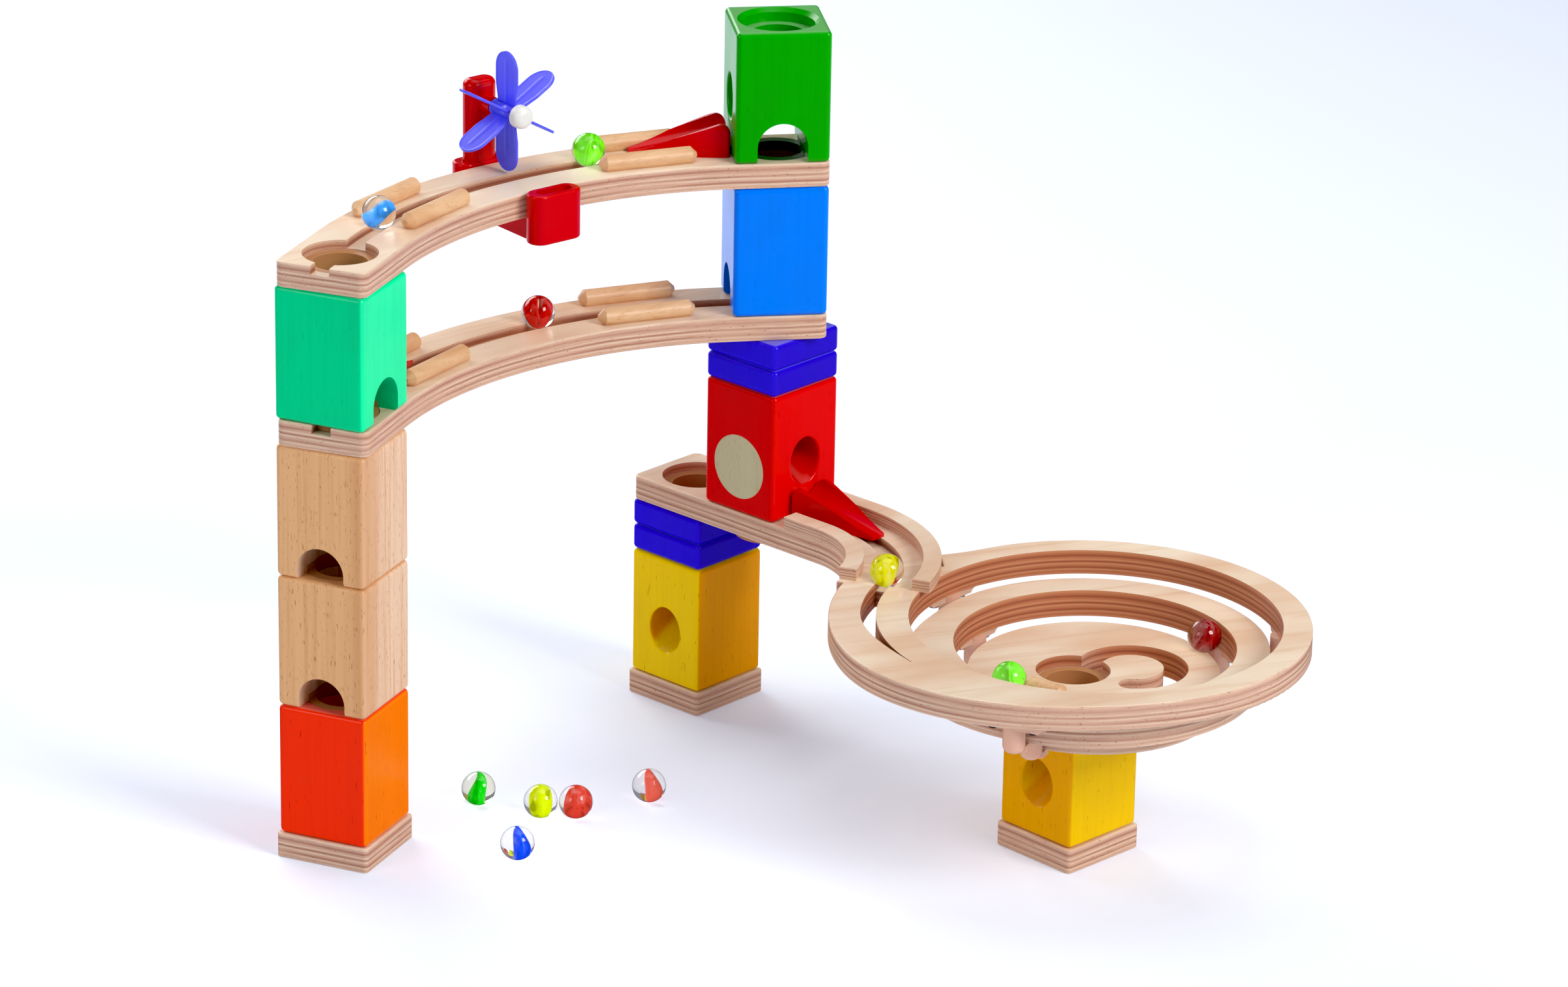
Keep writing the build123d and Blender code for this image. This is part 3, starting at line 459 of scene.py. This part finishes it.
# node: colour, glass, turn about X, Y and Z, ribbons
MARBLES = {
    "marble_light_green": (paint(120, 232, 30), CLEAR, (-30, 12, 10), FAN),
    "marble_blue": (paint(60, 150, 240), CLEAR, (-20, 72, 0), [(0, 0.33, 0.2, -0.14, 0.2, 0.04)]),
    "marble_red": (paint(186, 10, 0), CLEAR, (-20, 0, 0), PAIR),
    "marble_yellow_green": (paint(206, 200, 0), CLEAR, (-20, 20, 0), [(0, 0.54, 0.3, 0.0, 0.1, -0.16)]),
    "marble_dark_red": (paint(140, 0, 10), SMOKY, (-20, 14, 0), [(0, 0.56, 0.42, 0.0, 0.0, 0.18)]),
    "marble_green": (paint(120, 230, 50), CLEAR, (-60, 0, 0), FAN),
    "marble_floor_green": (paint(0, 214, 10), SMOKY, (-20, -4, 0), COMMA),
    "marble_floor_yellow": (paint(206, 226, 0), CLEAR, (-20, 0, 0), LEAF),
    "marble_floor_red": (paint(214, 62, 44), CLEAR, (-20, 12, 0), [(0, 0.52, 0.3, 0.0, 0.0, 0.1)]),
    "marble_floor_orange": (paint(246, 104, 84), CLEAR, (-20, -6, 0), BULGE),
    "marble_floor_blue": (paint(6, 70, 240), CLEAR, (-20, -4, 0), BULGE),
}
for name, how in MARBLES.items():
    glass_ball(name, *how)


# ---------------------------------------------------------------- windmill rotor

BLADES = 6
PADDLE_HALF = 8.2 * MM       # half the paddle's width, along the axle
PADDLE_TIP = 28.9 * MM
HUB_R = 4.2 * MM
HUB_HALF = 8.7 * MM
PADDLE_SKIN = 0.5 * MM       # half the paddle's thickness between its ribs
PADDLE_BEAD = 0.16 * MM      # how far the rim and the middle rib stand out of it
BORE = 1.6 * MM
COLLAR = 1.5 * MM            # how far the hub's full radius reaches in from each end


def paddle(mesh, spin):
    """One paddle, flat along the axle (X), with a beaded rim, a middle rib and a round tip."""
    rows, columns = 36, 24
    turn = Matrix.Rotation(spin, 3, "X")
    sides = {}
    for face in (-1, 1):
        for i in range(rows + 1):
            t = i / rows
            rise = HUB_R * 0.8 + (PADDLE_TIP - HUB_R * 0.8) * math.sin(t * math.pi / 2)
            beyond = max(0.0, (rise - PADDLE_TIP + PADDLE_HALF) / PADDLE_HALF)
            root = 0.78 + 0.22 * min(1.0, (rise - HUB_R) / (9 * MM)) if rise > HUB_R else 0.78
            half = PADDLE_HALF * root * math.sqrt(max(0.0, 1 - beyond * beyond))
            for j in range(columns + 1):
                x = half * math.sin((j / columns - 0.5) * math.pi)
                rim = min(half - abs(x), PADDLE_TIP - rise)
                bead = max(0.0, 1 - abs(rim - 0.5 * MM) / (0.5 * MM))
                rib = max(0.0, 1 - abs(x) / (0.6 * MM)) if rise < PADDLE_TIP - 4 * MM else 0.0
                height = PADDLE_SKIN + PADDLE_BEAD * max(bead, rib)
                if rim < 0.01 * MM:
                    height = 0.0
                sides[face, i, j] = mesh.verts.new(turn @ Vector((x, face * height, rise)))
    for face in (-1, 1):
        for i in range(rows):
            for j in range(columns):
                near = [sides[face, i, j], sides[face, i, j + 1]]
                far = [sides[face, i + 1, j + 1], sides[face, i + 1, j]]
                corners = near + far
                mesh.faces.new(corners if face < 0 else corners[::-1])
    for j in range(columns):
        mesh.faces.new((sides[-1, 0, j + 1], sides[-1, 0, j], sides[1, 0, j], sides[1, 0, j + 1]))


def lathe(mesh, profile, segments=48):
    """Spins a closed (along X, radius) outline about X."""
    rings = []
    for k in range(segments):
        turn = Matrix.Rotation(math.tau * k / segments, 3, "X")
        rings.append([mesh.verts.new(turn @ Vector((x, 0, radius))) for x, radius in profile])
    for k in range(segments):
        here, after = rings[k], rings[(k + 1) % segments]
        for i in range(len(profile)):
            n = (i + 1) % len(profile)
            mesh.faces.new((here[i], after[i], after[n], here[n]))


spin_joint = joints["rotor_spin"]
axle = Vector(spin_joint["axis"]).normalized()
across = Vector((0, 0, 1)).cross(axle)
to_axle = Matrix((axle, across, Vector((0, 0, 1)))).transposed().to_4x4()
to_axle.translation = Vector(spin_joint["pos_m"])
wheel = bmesh.new()
for blade in range(BLADES):
    paddle(wheel, math.tau * blade / BLADES)
lathe(wheel, [
    (-HUB_HALF, BORE), (-HUB_HALF, HUB_R - 0.4 * MM), (-HUB_HALF + 0.4 * MM, HUB_R),
    (-HUB_HALF + COLLAR, HUB_R), (-HUB_HALF + COLLAR + 0.2 * MM, HUB_R - 0.5 * MM),
    (HUB_HALF - COLLAR - 0.2 * MM, HUB_R - 0.5 * MM), (HUB_HALF - COLLAR, HUB_R),
    (HUB_HALF - 0.4 * MM, HUB_R), (HUB_HALF, HUB_R - 0.4 * MM), (HUB_HALF, BORE),
])
bmesh.ops.remove_doubles(wheel, verts=wheel.verts, dist=0.003 * MM)
bmesh.ops.dissolve_degenerate(wheel, edges=wheel.edges, dist=0.003 * MM)
bmesh.ops.recalc_face_normals(wheel, faces=wheel.faces)
bmesh.ops.transform(wheel, matrix=to_axle, verts=wheel.verts)
rotor = piece("rotor_moulding", wheel, body_with("windmill_rotor"),
              MATERIALS["rotor_plastic"])
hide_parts("windmill_rotor")


# ---------------------------------------------------------------- stage, light and camera

floor_mesh = bmesh.new()
bmesh.ops.create_grid(floor_mesh, x_segments=1, y_segments=1, size=6.0)
floor_data = bpy.data.meshes.new("floor")
floor_mesh.to_mesh(floor_data)
floor_mesh.free()
floor = bpy.data.objects.new("floor", floor_data)
bpy.context.collection.objects.link(floor)
paper = Shader("paper")
grit = paper.noise((300, 300, 300))
paper.surface(paint(236, 242, 255), 0.8, paper.bump(grit, 0.05, 0.0001),
              Emission_Color=paint(226, 232, 255), Emission_Strength=0.15)
# glossy things see the paper dim in front of the towers and bright behind them, as in a dark studio
place = paper.add("ShaderNodeSeparateXYZ")
paper.feed(place.inputs[0], paper.place)
in_front = paper.maths("SUBTRACT", 1.0, paper.between(place.outputs["Y"], 0.15, 0.5))
dim = paper.add("ShaderNodeBsdfDiffuse")
dim.inputs["Color"].default_value = (0.04, 0.04, 0.05, 1.0)
either = paper.add("ShaderNodeMixShader")
paper.feed(either.inputs[0], paper.maths("MULTIPLY", paper.reflected(), in_front))
paper.feed(either.inputs[1], paper.output.inputs["Surface"].links[0].from_socket)
paper.feed(either.inputs[2], dim.outputs[0])
paper.feed(paper.output.inputs["Surface"], either.outputs[0])
floor_data.materials.append(paper.material)

WORLD_LIGHT = 0.3
WORLD_GLOSS = 0.05           # how bright the room looks in a glossy surface
world = bpy.data.worlds.new("studio")
bpy.context.scene.world = world
world.use_nodes = True
room = world.node_tree
background = room.nodes["Background"]
background.inputs["Color"].default_value = (0.9, 0.94, 1.0, 1.0)
rays = room.nodes.new("ShaderNodeLightPath")
seen_through = room.nodes.new("ShaderNodeMath")
seen_through.operation = "SUBTRACT"
room.links.new(rays.outputs["Is Glossy Ray"], seen_through.inputs[0])
room.links.new(rays.outputs["Is Transmission Ray"], seen_through.inputs[1])
strength = room.nodes.new("ShaderNodeMapRange")
strength.inputs["To Min"].default_value = WORLD_LIGHT
strength.inputs["To Max"].default_value = WORLD_GLOSS
room.links.new(seen_through.outputs[0], strength.inputs["Value"])
room.links.new(strength.outputs["Result"], background.inputs["Strength"])


def softbox(name, place, target, size, power):
    """A rectangular lamp of a size in metres and a power in watts, turned towards a target."""
    light = bpy.data.lights.new(name, "AREA")
    light.shape = "RECTANGLE"
    light.size, light.size_y = size
    light.energy = power
    box = bpy.data.objects.new(name, light)
    bpy.context.collection.objects.link(box)
    box.location = place
    box.rotation_euler = (Vector(target) - Vector(place)).to_track_quat("-Z", "Y").to_euler()


MIDDLE = (0.0, 0.0, 0.15)
softbox("key", (1.7, -1.3, 1.6), MIDDLE, (1.0, 1.0), 42)
softbox("left_fill", (-1.5, -1.3, 1.1), MIDDLE, (0.9, 0.9), 8)
softbox("back_strip", (-1.2, 1.5, 1.1), MIDDLE, (1.8, 0.8), 24)
softbox("top", (0.1, 0.2, 1.9), MIDDLE, (1.5, 1.2), 10)

# the photograph's camera, solved from the towers' corners
FOCAL_PX = 9903.8
IMAGE_WIDTH = 2408
CAMERA_AT = (-0.02646, -2.80477, 1.24225)
PITCH, ROLL, YAW = 0.37035, 0.0182, -0.0072   # radians below the horizon, about the view and about Z
BLACK_LEVEL = 0.01                            # what the photograph's contrast takes off its shadows
camera_data = bpy.data.cameras.new("camera")
camera_data.sensor_width = 36.0
camera_data.lens = FOCAL_PX / IMAGE_WIDTH * camera_data.sensor_width
camera_data.clip_end = 50.0
camera = bpy.data.objects.new("camera", camera_data)
bpy.context.collection.objects.link(camera)
look = Matrix.Rotation(YAW, 4, "Z") @ Matrix.Rotation(math.pi / 2 - PITCH, 4, "X")
look = look @ Matrix.Rotation(ROLL, 4, "Z")
camera.matrix_world = Matrix.Translation(CAMERA_AT) @ look
bpy.context.scene.camera = camera
view = bpy.context.scene.view_settings
view.view_transform = "Standard"
view.use_curve_mapping = True
view.curve_mapping.black_level = (BLACK_LEVEL,) * 3
view.curve_mapping.update()
